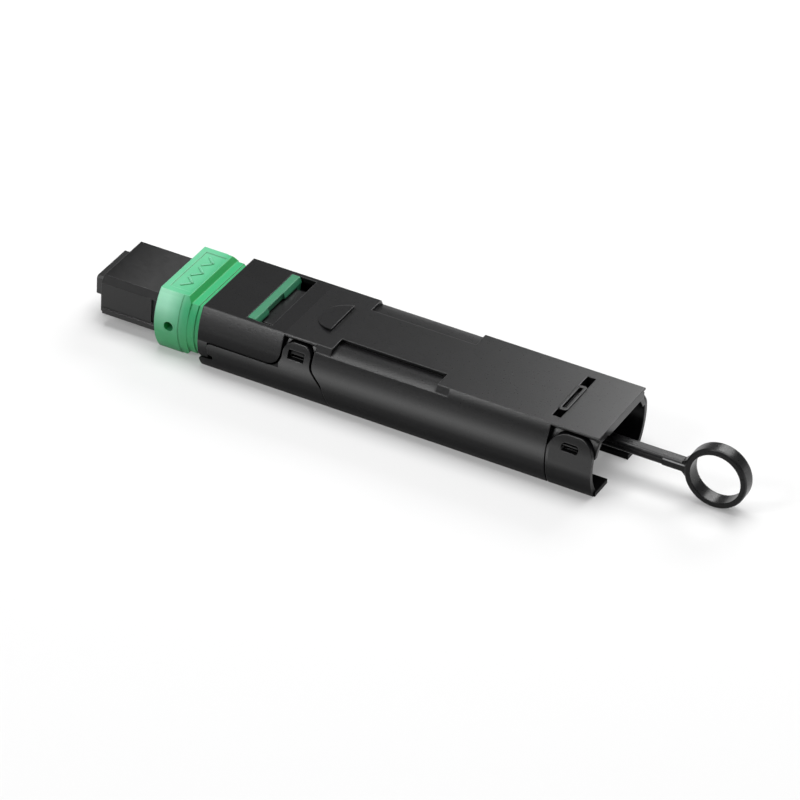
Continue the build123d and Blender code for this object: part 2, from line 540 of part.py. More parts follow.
# Coupling sleeve: thick front with side holes, lower rear step, tail in the shell, arms and bar
def coupling_sleeve():
    body = barrel(SLEEVE_FLAT, SHELL_HEIGHT, SLEEVE_BULGE, -SLEEVE_REACH, -SLEEVE_STEP)
    around = barrel(SLEEVE_FLAT + 3, SHELL_HEIGHT + 3, SLEEVE_BULGE, -SLEEVE_SEAM, 0)
    kept = barrel(SLEEVE_FLAT - 2 * SEAM_DEPTH, SHELL_HEIGHT, SLEEVE_BULGE, -SLEEVE_SEAM - 1, 1)
    body -= around - kept
    middle = shell_form(TAIL_INSET, -SLEEVE_STEP, -SLEEVE_BAND, FLAP_BULGE)
    tail = shell_form(TAIL_INSET + SLEEVE_FIT, -SLEEVE_BAND, SLEEVE_TAIL, FLAP_BULGE)
    with BuildSketch(Plane.XZ) as slope:
        with BuildLine():
            rise = 0.5
            top = SHELL_HEIGHT
            Polyline(
                (-SLEEVE_STEP, top - TAIL_INSET), (-SLEEVE_STEP - rise, top),
                (-SLEEVE_STEP - rise, top + 1), (0, top + 1), (0, top - TAIL_INSET), close=True,
            )
        make_face()
    ramp = extrude(slope.sketch, REACH, both=True)
    body -= ramp
    body -= mirror(ramp, Plane.XY.offset(AXIS_Z))
    body += middle + tail
    width = SLEEVE_BORE_WIDTH / 2
    height = SLEEVE_BORE_HEIGHT / 2
    body -= block(-SLEEVE_REACH - 1, SLEEVE_TAIL + 1, -width, width, AXIS_Z - height, AXIS_Z + height)
    channel = Pos(0, SPRING_Y, AXIS_Z) * Rot(0, 90, 0) * Cylinder(SLEEVE_SPRING_OD / 2 + SPRING_FIT, 40)
    body -= both_sides(channel & block(SPRING_FRONT, 9, 0, 9, 0, 9))
    hole = Pos(-SLEEVE_REACH + 1.8, 0, AXIS_Z) * Rot(90, 0, 0) * Cylinder(SIDE_HOLE / 2, 40)
    body -= hole

    # Shallow panel on the top face
    body -= block(-SLEEVE_REACH + 0.7, -SLEEVE_STEP - 0.75, -4.0, 4.0, SHELL_HEIGHT - PANEL_DEPTH, 9)

    # Arms under the top plate, with the legs and the bar that shows in the window
    arms = block(SLEEVE_TAIL - 1, ARM_END, ARM_INNER, ARM_OUTER, ARM_FOOT, ARM_TOP)
    arms += block(HOOK_X, ARM_END, ARM_INNER + 0.15, ARM_OUTER - 0.15, STRAP_FOOT, ARM_FOOT + 0.1)
    bar_foot = SILL_TOP + SLEEVE_FIT
    bar_top = SHELL_HEIGHT + 0.03
    arms += block(BAR_FRONT, BAR_END + BAR_FOOT, ARM_INNER, BAR_HALF, ARM_TOP - 0.15, ARM_TOP + 0.1)
    body += both_sides(arms)
    body += block(BAR_FRONT, BAR_END, -BAR_HALF, BAR_HALF, bar_foot, bar_top)
    with BuildSketch(Plane.XZ) as wedge:
        with BuildLine():
            Polyline(
                (BAR_END - 0.1, bar_top), (BAR_END, bar_top), (BAR_END + BAR_FOOT, bar_foot + 0.2),
                (BAR_END + BAR_FOOT, bar_foot), (BAR_END - 0.1, bar_foot), close=True,
            )
        make_face()
    wedge = extrude(wedge.sketch, BAR_HALF, both=True)
    body += wedge - block(BAR_END, BAR_END + 1, -2.35, 1.2, 0, 9)
    return body


# Rod, ring and the yoke whose straps carry the sleeve
def pull_rod():
    straps = block(HOOK_X - 0.35, YOKE_X + 0.1, ARM_INNER, ARM_OUTER, STRAP_FOOT, STRAP_TOP)
    eye = SLEEVE_FIT / 2
    straps -= block(HOOK_X - eye, ARM_END + eye, ARM_INNER + 0.1, ARM_OUTER - 0.1, 0, 9)
    body = both_sides(straps)
    with BuildSketch(Plane.YZ.offset(YOKE_X)) as arch:
        with BuildLine():
            low = AXIS_Z - ROD_HEIGHT / 2
            FilletPolyline(
                (-ARM_OUTER, STRAP_TOP), (-ARM_OUTER, STRAP_FOOT - 0.5), (-2.2, low), (2.2, low),
                (ARM_OUTER, STRAP_FOOT - 0.5), (ARM_OUTER, STRAP_TOP), (ARM_INNER, STRAP_TOP),
                (1.7, AXIS_Z + ROD_HEIGHT / 2), (-1.7, AXIS_Z + ROD_HEIGHT / 2), (-ARM_INNER, STRAP_TOP),
                radius=[0, 0.8, 1.0, 1.0, 0.8, 0, 0.1, 0.8, 0.8, 0.1], close=True,
            )
        make_face()
    body += extrude(arch.sketch, YOKE_THICKNESS)

    # Rod with a shallow groove along each side and thicker cheeks beside the ring
    neck = RING_X - RING_RADIUS
    with BuildSketch(Plane.YZ.offset(YOKE_X + YOKE_THICKNESS / 2)) as rod:
        with Locations((0, AXIS_Z)):
            RectangleRounded(ROD_WIDTH, ROD_HEIGHT, 0.34)
            with Locations((ROD_WIDTH / 2, 0.13), (-ROD_WIDTH / 2, 0.13)):
                Rectangle(0.14, 0.14, rotation=45, mode=Mode.SUBTRACT)
    body += extrude(rod.sketch, neck + 0.4 - YOKE_X - YOKE_THICKNESS / 2)
    cheek = ROD_WIDTH / 2 + 0.1
    body += block(neck - 2.6, neck + 0.2, -cheek, cheek, AXIS_Z - 0.42, AXIS_Z + 0.36)

    # Ring on edge, joined to the rod by small webs
    half = ROD_HEIGHT / 2
    with BuildSketch(Plane.XZ) as webs:
        with BuildLine():
            Polyline(
                (neck - 0.35, AXIS_Z - half), (neck + 1.0, AXIS_Z - half - 1.3),
                (neck + 1.0, AXIS_Z + half + 1.3), (neck - 0.35, AXIS_Z + half), close=True,
            )
        make_face()
    centre = Pos(RING_X, 0, AXIS_Z) * Rot(90, 0, 0)
    ring = centre * Cylinder(RING_RADIUS, RING_DEPTH)
    ring = fillet(ring.edges().filter_by(GeomType.CIRCLE), RING_EDGE)
    body += extrude(webs.sketch, RING_DEPTH / 2 - RING_EDGE, both=True)
    body += ring
    return body - centre * Cylinder(RING_BORE / 2, RING_DEPTH + 1)


# Springs are wound from quarter-turn arcs that climb evenly from one end to the other
def coil(x0, x1, half_width, half_height, turns, wire, y_mid):
    corners = [(1, 1), (-1, 1), (-1, -1), (1, -1)]
    steps = 4 * turns
    climb = (x1 - x0 - wire) / steps
    path = []
    for i in range(steps + 1):
        across, up = corners[i % 4]
        y = y_mid + across * half_width
        path.append((x0 + wire / 2 + i * climb, y, AXIS_Z + up * half_height))
    bend = 0.93 * min(half_width, half_height)
    line = FilletPolyline(*path, radius=bend)
    start = line @ 0
    profile = Plane(origin=start, z_dir=line % 0) * Circle(wire / 2)
    return sweep(profile, path=line)


def sleeve_spring(side):
    mean = (SLEEVE_SPRING_OD - SLEEVE_WIRE) / 2
    return coil(SPRING_FRONT, COLLAR_X, mean, mean, SLEEVE_TURNS, SLEEVE_WIRE, side * SPRING_Y)


def ferrule_spring():
    across = CAVITY_WIDTH / 2 - FERRULE_WIRE / 2 - SPRING_FIT
    upright = CAVITY_HEIGHT / 2 - FERRULE_WIRE / 2 - SPRING_FIT
    return coil(KEEPER_END, PUSH_FRONT, across, upright, FERRULE_TURNS, FERRULE_WIRE, 0)


def fibre_ribbon():
    half = RIBBON_WIDTH / 2
    thick = RIBBON_THICKNESS / 2
    ribbon = block(KEEPER_END + BOOT_TAIL, RIBBON_END, -half, half, AXIS_Z - thick, AXIS_Z + thick)
    return fillet(ribbon.edges().filter_by(Axis.X), 0.15)


# One fibre, out from its channel, round the spool and back to the partner channel
def fibre_loop(index):
    start = (FIBRE_PAIRS - index - 0.5) * FIBRE_PITCH
    radius = LOOP_RADIUS - index * FIBRE_PITCH
    spread = RIBBON_END + 0.8
    wide = LOOP_X - 1.5
    path = [
        (RIBBON_END, start, AXIS_Z), (spread, start, AXIS_Z), (wide, radius, AXIS_Z),
        (LOOP_X + radius, radius, AXIS_Z), (LOOP_X + radius, -radius, AXIS_Z),
        (wide, -radius, AXIS_Z), (spread, -start, AXIS_Z), (RIBBON_END, -start, AXIS_Z),
    ]
    line = FilletPolyline(*path, radius=[2.0, 4.0, 0.98 * radius, 0.98 * radius, 4.0, 2.0])
    profile = Plane(origin=line @ 0, z_dir=line % 0) * Circle(FIBRE_COAT / 2)
    return sweep(profile, path=line)


parts = {
    "upper_shell": upper_shell(),
    "lower_shell": lower_shell(),
    "plug_housing": plug_housing(),
    "mt_ferrule": mt_ferrule(),
    "window_epoxy": window_epoxy(),
    "ferrule_boot": ferrule_boot(),
    "pin_keeper": pin_keeper(),
    "ferrule_spring": ferrule_spring(),
    "spring_push": spring_push(),
    "coupling_sleeve": coupling_sleeve(),
    "sleeve_spring_near": sleeve_spring(-1),
    "sleeve_spring_far": sleeve_spring(1),
    "pull_rod": pull_rod(),
    "fibre_ribbon": fibre_ribbon(),
}
for number, letter in enumerate("abcdef"):
    parts["fibre_loop_" + letter] = fibre_loop(number)

os.makedirs("parts", exist_ok=True)
for name, shape in parts.items():
    export_step(Pos(-MIDDLE_X, 0, 0) * shape, "parts/" + name + ".step")
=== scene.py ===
import math

import bpy
import mathutils
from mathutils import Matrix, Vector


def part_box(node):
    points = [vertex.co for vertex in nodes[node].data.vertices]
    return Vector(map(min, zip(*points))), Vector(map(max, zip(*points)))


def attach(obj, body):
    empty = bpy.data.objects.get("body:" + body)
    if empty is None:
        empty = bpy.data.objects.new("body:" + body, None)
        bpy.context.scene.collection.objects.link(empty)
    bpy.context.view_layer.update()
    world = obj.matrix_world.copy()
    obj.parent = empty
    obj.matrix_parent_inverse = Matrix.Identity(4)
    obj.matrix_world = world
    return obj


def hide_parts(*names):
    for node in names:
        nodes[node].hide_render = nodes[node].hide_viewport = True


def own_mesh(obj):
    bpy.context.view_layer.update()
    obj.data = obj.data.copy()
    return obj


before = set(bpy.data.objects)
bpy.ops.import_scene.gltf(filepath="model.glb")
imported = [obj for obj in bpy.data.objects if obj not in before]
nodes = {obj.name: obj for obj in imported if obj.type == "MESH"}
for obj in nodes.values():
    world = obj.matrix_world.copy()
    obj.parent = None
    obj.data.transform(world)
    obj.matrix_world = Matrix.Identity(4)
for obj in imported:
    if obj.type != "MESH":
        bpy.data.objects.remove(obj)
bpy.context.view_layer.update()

scene = bpy.context.scene


# Camera: a long lens looking down along the module from the ring end. The 36 mm sensor
# width is the picture's 800 pixels, and the turn about the view axis is the photograph's.
SENSOR = 36.0
PICTURE = 800
FOCAL_PIXELS = 4995.0
CAMERA_PLACE = (0.194611, -0.405776, 0.306195)
AZIMUTH = math.radians(25.91)
ELEVATION = math.radians(34.19)
ROLL = math.radians(3.41)

back = mathutils.Vector((
    math.sin(AZIMUTH) * math.cos(ELEVATION),
    -math.cos(AZIMUTH) * math.cos(ELEVATION),
    math.sin(ELEVATION),
))
level_right = mathutils.Vector((math.cos(AZIMUTH), math.sin(AZIMUTH), 0))
level_up = back.cross(level_right)
right = level_right * math.cos(ROLL) + level_up * math.sin(ROLL)
up = level_up * math.cos(ROLL) - level_right * math.sin(ROLL)
camera_data = bpy.data.cameras.new("camera")
camera_data.sensor_width = SENSOR
camera_data.lens = FOCAL_PIXELS * SENSOR / PICTURE
camera_data.clip_start = 0.01
camera = bpy.data.objects.new("camera", camera_data)
camera.matrix_world = mathutils.Matrix((
    (right.x, up.x, back.x, CAMERA_PLACE[0]),
    (right.y, up.y, back.y, CAMERA_PLACE[1]),
    (right.z, up.z, back.z, CAMERA_PLACE[2]),
    (0, 0, 0, 1),
))
scene.collection.objects.link(camera)
scene.camera = camera
scene.view_settings.view_transform = "Standard"


# Light: a large softbox hangs overhead, a small one beyond the module shines along its top
# towards the ring, one stands in front to the left, and the pale room fills the rest.
def add_node(tree, kind, inputs=None, **settings):
    node = tree.nodes.new(kind)
    for name, value in settings.items():
        setattr(node, name, value)
    for name, value in (inputs or {}).items():
        if isinstance(value, bpy.types.NodeSocket):
            tree.links.new(value, node.inputs[name])
        else:
            node.inputs[name].default_value = value
    return node


def softbox(name, place, target, size, radiance):
    light = bpy.data.lights.new(name, "AREA")
    light.shape = "RECTANGLE"
    light.size, light.size_y = size
    light.energy = radiance * 4 * size[0] * size[1]
    lamp = bpy.data.objects.new(name, light)
    aim = mathutils.Vector(target) - mathutils.Vector(place)
    turned = aim.to_track_quat("-Z", "Y").to_matrix().to_4x4()
    lamp.matrix_world = mathutils.Matrix.Translation(place) @ turned
    scene.collection.objects.link(lamp)


softbox("softbox_top", (-0.02, 0.11, 0.72), (0, 0, 0), (0.60, 0.50), 4.1)
softbox("softbox_far", (0.01, 0.22, 0.165), (0.02, 0, 0), (0.14, 0.08), 5.4)
softbox("softbox_front", (-0.22, -0.35, 0.33), (-0.02, 0, 0), (0.14, 0.13), 7.5)

world = bpy.data.worlds.new("plain_room")
world.use_nodes = True
scene.world = world
tree = world.node_tree
tree.nodes.clear()
room = add_node(tree, "ShaderNodeBackground", {"Color": (1, 1, 1, 1), "Strength": 0.22})
add_node(tree, "ShaderNodeOutputWorld", {"Surface": room.outputs[0]})


# Floor: smooth white board that the module lies on, turned up into a low rim far around it. It
# takes the shadow, and away from the module it is as white as a lit backdrop.
def linear(code):
    channels = [int(code[i:i + 2], 16) / 255 for i in (1, 3, 5)]
    return [c / 12.92 if c <= 0.04045 else ((c + 0.055) / 1.055) ** 2.4 for c in channels] + [1.0]


FLOOR_SIDES = 96
floor_mesh = bpy.data.meshes.new("floor")
angles = [i * math.tau / FLOOR_SIDES for i in range(FLOOR_SIDES)]
around = [(math.cos(angle), math.sin(angle)) for angle in angles]
rings = ((1.50, -0.00002), (1.60, 0.01), (1.66, 0.04), (1.68, 0.22))
points = [(x * radius, y * radius, height) for radius, height in rings for x, y in around]
faces = [tuple(range(FLOOR_SIDES))]
for ring in range(len(rings) - 1):
    for i in range(FLOOR_SIDES):
        a = ring * FLOOR_SIDES + i
        b = ring * FLOOR_SIDES + (i + 1) % FLOOR_SIDES
        faces.append((a + FLOOR_SIDES, b + FLOOR_SIDES, b, a))
floor_mesh.from_pydata(points, [], faces)
floor = bpy.data.objects.new("floor", floor_mesh)
scene.collection.objects.link(floor)

# White card: matt, so the shadow has soft edges and no reflection of the part in it
card = bpy.data.materials.new("white_card")
card.use_nodes = True
tree = card.node_tree
tree.nodes.clear()
place = add_node(tree, "ShaderNodeTexCoord")
fibres = add_node(tree, "ShaderNodeTexNoise", {
    "Vector": place.outputs["Object"], "Scale": 900, "Detail": 3,
})
tooth = add_node(tree, "ShaderNodeBump", {
    "Height": fibres.outputs[0], "Strength": 0.02, "Distance": 0.0001,
})
board = add_node(tree, "ShaderNodeBsdfDiffuse", {
    "Color": linear("#d0d0d0"), "Normal": tooth.outputs[0],
})
rays = add_node(tree, "ShaderNodeLightPath")
seen = add_node(tree, "ShaderNodeMath", {
    0: rays.outputs["Is Camera Ray"], 1: rays.outputs["Is Glossy Ray"],
}, operation="MAXIMUM")
seen = add_node(tree, "ShaderNodeMath", {
    0: seen.outputs[0], 1: rays.outputs["Is Transmission Ray"],
}, operation="MAXIMUM")
away = add_node(tree, "ShaderNodeVectorMath", {0: place.outputs["Object"]}, operation="LENGTH")
white = add_node(tree, "ShaderNodeMapRange", {
    "Value": away.outputs["Value"], "From Min": 0.12, "From Max": 0.7, "To Min": 0.22,
    "To Max": 0.95,
})
lift = add_node(tree, "ShaderNodeMath", {
    0: seen.outputs[0], 1: white.outputs[0],
}, operation="MULTIPLY")
glow = add_node(tree, "ShaderNodeEmission", {"Color": (1, 1, 1, 1), "Strength": lift.outputs[0]})
both = add_node(tree, "ShaderNodeAddShader", {0: board.outputs[0], 1: glow.outputs[0]})
add_node(tree, "ShaderNodeOutputMaterial", {"Surface": both.outputs[0]})
floor_mesh.materials.append(card)


# Shell: two halves that snap together, injection moulded in black polycarbonate blend from a
# spark-eroded mould. Both halves come from the same material and texture.
def dress(names, material):
    for name in names:
        for slot in nodes[name].material_slots:
            slot.material = material


# Black PC blend: an even fine matt grain that greys the top under the softbox, edges that
# are rounded by a tenth of a millimetre and carry a painted highlight line, faint flow marks.
shell = bpy.data.materials.new("black_polycarbonate_blend_spark_texture")
shell.use_nodes = True
tree = shell.node_tree
tree.nodes.clear()
place = add_node(tree, "ShaderNodeTexCoord")
# The real grain is about 0.05 mm; it is drawn at 0.2 mm so that it shows
grain = add_node(tree, "ShaderNodeTexNoise", {
    "Vector": place.outputs["Object"], "Scale": 1 / 0.0002, "Detail": 3, "Roughness": 0.6,
})
stretched = add_node(tree, "ShaderNodeMapping", {
    "Vector": place.outputs["Object"], "Scale": (0.25, 1, 1),
})
flow = add_node(tree, "ShaderNodeTexNoise", {
    "Vector": stretched.outputs[0], "Scale": 1 / 0.004, "Detail": 3,
})
tone = add_node(tree, "ShaderNodeMapRange", {
    "Value": flow.outputs[0], "From Min": 0.3, "From Max": 0.7, "To Min": 0.0, "To Max": 1.0,
})
colour = add_node(tree, "ShaderNodeMix", {
    "Factor": tone.outputs[0], "A": linear("#0c0c0d"), "B": linear("#111112"),
}, data_type="RGBA")
dull = add_node(tree, "ShaderNodeMapRange", {
    "Value": grain.outputs[0], "From Min": 0.3, "From Max": 0.7, "To Min": 0.27, "To Max": 0.32,
})
edge = add_node(tree, "ShaderNodeBevel", {"Radius": 0.00014}, samples=8)
# Above the seam the flaps at the plug end are shaded as if they leaned by eight degrees, to meet
# the photograph's tones. It is shading alone: their meshes follow the shell's side.
FLAP_END = -0.01407
FLAP_FOOT = 0.00385
part = add_node(tree, "ShaderNodeSeparateXYZ", {"Vector": place.outputs["Object"]})
at_flap = add_node(tree, "ShaderNodeMath", {
    0: part.outputs["X"], 1: FLAP_END,
}, operation="LESS_THAN")
above = add_node(tree, "ShaderNodeMath", {0: part.outputs["Z"], 1: FLAP_FOOT}, operation="SUBTRACT")
above = add_node(tree, "ShaderNodeMath", {0: above.outputs[0], 1: 0.0}, operation="MAXIMUM")
lean = add_node(tree, "ShaderNodeMath", {
    0: above.outputs[0], 1: at_flap.outputs[0],
}, operation="MULTIPLY")
lean = add_node(tree, "ShaderNodeBump", {
    "Height": lean.outputs[0], "Strength": 1.0, "Distance": 0.14, "Normal": edge.outputs[0],
}, invert=True)
relief = add_node(tree, "ShaderNodeBump", {
    "Height": grain.outputs[0], "Strength": 0.35, "Distance": 0.00002, "Normal": lean.outputs[0],
})
# A thin pale line along the rounded edges is a painted highlight
flat = add_node(tree, "ShaderNodeNewGeometry")
turn = add_node(tree, "ShaderNodeVectorMath", {
    0: edge.outputs[0], 1: flat.outputs["True Normal"],
}, operation="DOT_PRODUCT")
edge_highlight = add_node(tree, "ShaderNodeMapRange", {
    "Value": turn.outputs["Value"], "From Min": 0.98, "From Max": 0.75, "To Min": 0.0,
    "To Max": 1.0,
})
colour = add_node(tree, "ShaderNodeMix", {
    "Factor": edge_highlight.outputs[0], "A": colour.outputs["Result"], "B": linear("#303031"),
}, data_type="RGBA")
# The specular level swells and fades with height, a painted reflection: it sets the walls' bright
# band and dark foot and was fitted to the photograph's tones, once for the walls, once for the
# flaps, whose bright line lies higher. Each stop is a height in millimetres and a level.
WALL_PAINTED_SHEEN = (
    (0.0, 0.03), (2.0, 0.08), (3.0, 0.20), (3.7, 0.52),
    (4.4, 0.84), (5.0, 0.70), (5.7, 0.40), (6.6, 0.45),
)
FLAP_PAINTED_SHEEN = (
    (3.8, 0.14), (4.5, 0.15), (5.1, 0.24), (5.7, 0.48),
    (6.2, 0.70), (6.8, 0.42), (7.3, 0.26), (7.8, 0.45),
)
RAMP_TOP = 8.0
height = add_node(tree, "ShaderNodeMapRange", {
    "Value": part.outputs["Z"], "From Min": 0.0, "From Max": RAMP_TOP / 1000,
})
painted_sheens = []
for stops in (WALL_PAINTED_SHEEN, FLAP_PAINTED_SHEEN):
    painted_sheen = add_node(tree, "ShaderNodeValToRGB", {"Fac": height.outputs[0]})
    ramp = painted_sheen.color_ramp
    ramp.interpolation = "CARDINAL"
    while len(ramp.elements) < len(stops):
        ramp.elements.new(0.5)
    for i, (high, level) in enumerate(stops):
        ramp.elements[i].position = high / RAMP_TOP
    for element, (high, level) in zip(ramp.elements, stops):
        element.color = (level, level, level, 1)
    painted_sheens.append(painted_sheen)
painted_sheen = add_node(tree, "ShaderNodeMix", {
    "Factor": at_flap.outputs[0], "A": painted_sheens[0].outputs[0], "B": painted_sheens[1].outputs[0],
}, data_type="RGBA")
lower = add_node(tree, "ShaderNodeMath", {
    0: part.outputs["Z"], 1: FLAP_FOOT,
}, operation="LESS_THAN")
painted_sheen = add_node(tree, "ShaderNodeMix", {
    "Factor": lower.outputs[0], "A": painted_sheen.outputs["Result"], "B": painted_sheens[0].outputs[0],
}, data_type="RGBA")
# The rounded end tabs lie a little below the walls and get less painted sheen, fitted in the same
# way
TAB_SEAM = 0.0186
tabs = add_node(tree, "ShaderNodeMapRange", {
    "Value": part.outputs["X"], "From Min": TAB_SEAM - 0.0001, "From Max": TAB_SEAM + 0.0001,
    "To Min": 1.0, "To Max": 0.46,
})
painted_sheen = add_node(tree, "ShaderNodeMix", {
    "Factor": 1.0, "A": painted_sheen.outputs["Result"], "B": tabs.outputs[0],
}, data_type="RGBA", blend_type="DARKEN")
# Faces turned to the ring end, such as the rolled lip, get painted shade: a lower specular level
facing = add_node(tree, "ShaderNodeSeparateXYZ", {"Vector": flat.outputs["True Normal"]})
ring_end_shade = add_node(tree, "ShaderNodeMapRange", {
    "Value": facing.outputs["X"], "From Min": 0.1, "From Max": 0.35, "To Min": 1.0, "To Max": 0.22,
})
painted_sheen = add_node(tree, "ShaderNodeMix", {
    "Factor": 1.0, "A": painted_sheen.outputs["Result"], "B": ring_end_shade.outputs[0],
}, data_type="RGBA", blend_type="DARKEN")
# Steps and slots half a millimetre deep get painted shade from an occlusion term, so that they read
# as lines
crevice_shade = add_node(tree, "ShaderNodeAmbientOcclusion", {"Distance": 0.0005}, samples=8)
crevice_shade = add_node(tree, "ShaderNodeMapRange", {
    "Value": crevice_shade.outputs["AO"], "From Min": 0.95, "From Max": 0.55, "To Min": 0.0,
    "To Max": 0.85,
})
painted_sheen = add_node(tree, "ShaderNodeMix", {
    "Factor": crevice_shade.outputs[0], "A": painted_sheen.outputs["Result"], "B": (0.03, 0.03, 0.03, 1),
}, data_type="RGBA")
colour = add_node(tree, "ShaderNodeMix", {
    "Factor": crevice_shade.outputs[0], "A": colour.outputs["Result"], "B": linear("#050505"),
}, data_type="RGBA")
surface = add_node(tree, "ShaderNodeBsdfPrincipled", {
    "Base Color": colour.outputs["Result"], "Roughness": dull.outputs[0],
    "Normal": relief.outputs[0], "IOR": 1.58, "Specular IOR Level": painted_sheen.outputs["Result"],
})
add_node(tree, "ShaderNodeOutputMaterial", {"Surface": surface.outputs[0]})
dress(["upper_shell", "lower_shell"], shell)


# Plug: the connector's housing and its rear body, moulded in black glass-filled PBT in a
# polished mould, so they are smoother than the shell.
housing = bpy.data.materials.new("black_glass_filled_pbt")
housing.use_nodes = True
tree = housing.node_tree
tree.nodes.clear()
place = add_node(tree, "ShaderNodeTexCoord")
# Glass fibres 0.3 mm long lie along the flow, drawn 1 mm long so that they show
lengthwise = add_node(tree, "ShaderNodeMapping", {
    "Vector": place.outputs["Object"], "Scale": (0.15, 1, 1),
})
glass = add_node(tree, "ShaderNodeTexNoise", {
    "Vector": lengthwise.outputs[0], "Scale": 1 / 0.00015, "Detail": 3,
})
colour = add_node(tree, "ShaderNodeMix", {
    "Factor": glass.outputs[0], "A": linear("#0c0c0c"), "B": linear("#121213"),
}, data_type="RGBA")
dull = add_node(tree, "ShaderNodeMapRange", {
    "Value": glass.outputs[0], "From Min": 0.3, "From Max": 0.7, "To Min": 0.32, "To Max": 0.42,
})
edge = add_node(tree, "ShaderNodeBevel", {"Radius": 0.00012}, samples=6)
relief = add_node(tree, "ShaderNodeBump", {
    "Height": glass.outputs[0], "Strength": 0.15, "Distance": 0.00001, "Normal": edge.outputs[0],
})
# The housing's corners carry a painted highlight, a pale line along them
flat = add_node(tree, "ShaderNodeNewGeometry")
turn = add_node(tree, "ShaderNodeVectorMath", {
    0: edge.outputs[0], 1: flat.outputs["True Normal"],
}, operation="DOT_PRODUCT")
edge_highlight = add_node(tree, "ShaderNodeMapRange", {
    "Value": turn.outputs["Value"], "From Min": 0.98, "From Max": 0.75, "To Min": 0.0,
    "To Max": 1.0,
})
colour = add_node(tree, "ShaderNodeMix", {
    "Factor": edge_highlight.outputs[0], "A": colour.outputs["Result"], "B": linear("#5a5a5b"),
}, data_type="RGBA")
# Painted sheen: the flat top's grows towards the sleeve, the chamfers' stays low, fitted to the
# photograph
part = add_node(tree, "ShaderNodeSeparateXYZ", {"Vector": place.outputs["Object"]})
facing = add_node(tree, "ShaderNodeSeparateXYZ", {"Vector": flat.outputs["True Normal"]})
plug_painted_sheen = add_node(tree, "ShaderNodeMapRange", {
    "Value": part.outputs["X"], "From Min": -0.0375, "From Max": -0.0325, "To Min": 0.3,
    "To Max": 0.9,
})
top = add_node(tree, "ShaderNodeMath", {0: facing.outputs["Z"], 1: 0.95}, operation="GREATER_THAN")
tilted = add_node(tree, "ShaderNodeMapRange", {
    "Value": facing.outputs["Z"], "From Min": 0.2, "From Max": 0.4, "To Min": 0.4, "To Max": 0.2,
})
plug_painted_sheen = add_node(tree, "ShaderNodeMix", {
    "Factor": top.outputs[0], "A": tilted.outputs[0], "B": plug_painted_sheen.outputs[0],
}, data_type="FLOAT")
surface = add_node(tree, "ShaderNodeBsdfPrincipled", {
    "Base Color": colour.outputs["Result"], "Roughness": dull.outputs[0],
    "Normal": relief.outputs[0], "IOR": 1.55, "Specular IOR Level": plug_painted_sheen.outputs[0],
})
add_node(tree, "ShaderNodeOutputMaterial", {"Surface": surface.outputs[0]})
dress(["plug_housing", "spring_push"], housing)


# Ferrule: black glass-filled thermoset, its end face polished flat, with a keeper behind it
# and a boot of soft rubber. Adhesive fills the window over the fibres.
ferrule = bpy.data.materials.new("black_thermoset_epoxy_moulding")
ferrule.use_nodes = True
tree = ferrule.node_tree
tree.nodes.clear()
place = add_node(tree, "ShaderNodeTexCoord")
specks = add_node(tree, "ShaderNodeTexVoronoi", {
    "Vector": place.outputs["Object"], "Scale": 1 / 0.00012,
})
colour = add_node(tree, "ShaderNodeMix", {
    "Factor": specks.outputs["Distance"], "A": linear("#1b1b1c"), "B": linear("#111111"),
}, data_type="RGBA")
dull = add_node(tree, "ShaderNodeMapRange", {
    "Value": specks.outputs["Distance"], "From Min": 0.0, "From Max": 0.8, "To Min": 0.3,
    "To Max": 0.42,
})
edge = add_node(tree, "ShaderNodeBevel", {"Radius": 0.00006}, samples=6)
relief = add_node(tree, "ShaderNodeBump", {
    "Height": specks.outputs["Distance"], "Strength": 0.1, "Distance": 0.00001,
    "Normal": edge.outputs[0],
})
surface = add_node(tree, "ShaderNodeBsdfPrincipled", {
    "Base Color": colour.outputs["Result"], "Roughness": dull.outputs[0],
    "Normal": relief.outputs[0], "IOR": 1.55,
})
add_node(tree, "ShaderNodeOutputMaterial", {"Surface": surface.outputs[0]})
dress(["mt_ferrule", "pin_keeper"], ferrule)

# Cured optical adhesive: amber, glossy, faintly clouded
adhesive = bpy.data.materials.new("cured_optical_epoxy")
adhesive.use_nodes = True
tree = adhesive.node_tree
tree.nodes.clear()
place = add_node(tree, "ShaderNodeTexCoord")
cloud = add_node(tree, "ShaderNodeTexNoise", {
    "Vector": place.outputs["Object"], "Scale": 1 / 0.0008, "Detail": 2,
})
colour = add_node(tree, "ShaderNodeMix", {
    "Factor": cloud.outputs[0], "A": linear("#8a5a1c"), "B": linear("#b98a3a"),
}, data_type="RGBA")
relief = add_node(tree, "ShaderNodeBump", {
    "Height": cloud.outputs[0], "Strength": 0.1, "Distance": 0.00003,
})
surface = add_node(tree, "ShaderNodeBsdfPrincipled", {
    "Base Color": colour.outputs["Result"], "Roughness": 0.12,
    "Normal": relief.outputs[0], "IOR": 1.54,
})
add_node(tree, "ShaderNodeOutputMaterial", {"Surface": surface.outputs[0]})
dress(["window_epoxy"], adhesive)

# Elastomer boot: dull black with a dusty bloom
rubber = bpy.data.materials.new("black_elastomer")
rubber.use_nodes = True
tree = rubber.node_tree
tree.nodes.clear()
place = add_node(tree, "ShaderNodeTexCoord")
bloom = add_node(tree, "ShaderNodeTexNoise", {
    "Vector": place.outputs["Object"], "Scale": 1 / 0.0005, "Detail": 4,
})
colour = add_node(tree, "ShaderNodeMix", {
    "Factor": bloom.outputs[0], "A": linear("#1c1c1c"), "B": linear("#2a2a2b"),
}, data_type="RGBA")
relief = add_node(tree, "ShaderNodeBump", {
    "Height": bloom.outputs[0], "Strength": 0.2, "Distance": 0.00002,
})
surface = add_node(tree, "ShaderNodeBsdfPrincipled", {
    "Base Color": colour.outputs["Result"], "Roughness": 0.75, "Normal": relief.outputs[0],
})
add_node(tree, "ShaderNodeOutputMaterial", {"Surface": surface.outputs[0]})
dress(["ferrule_boot"], rubber)


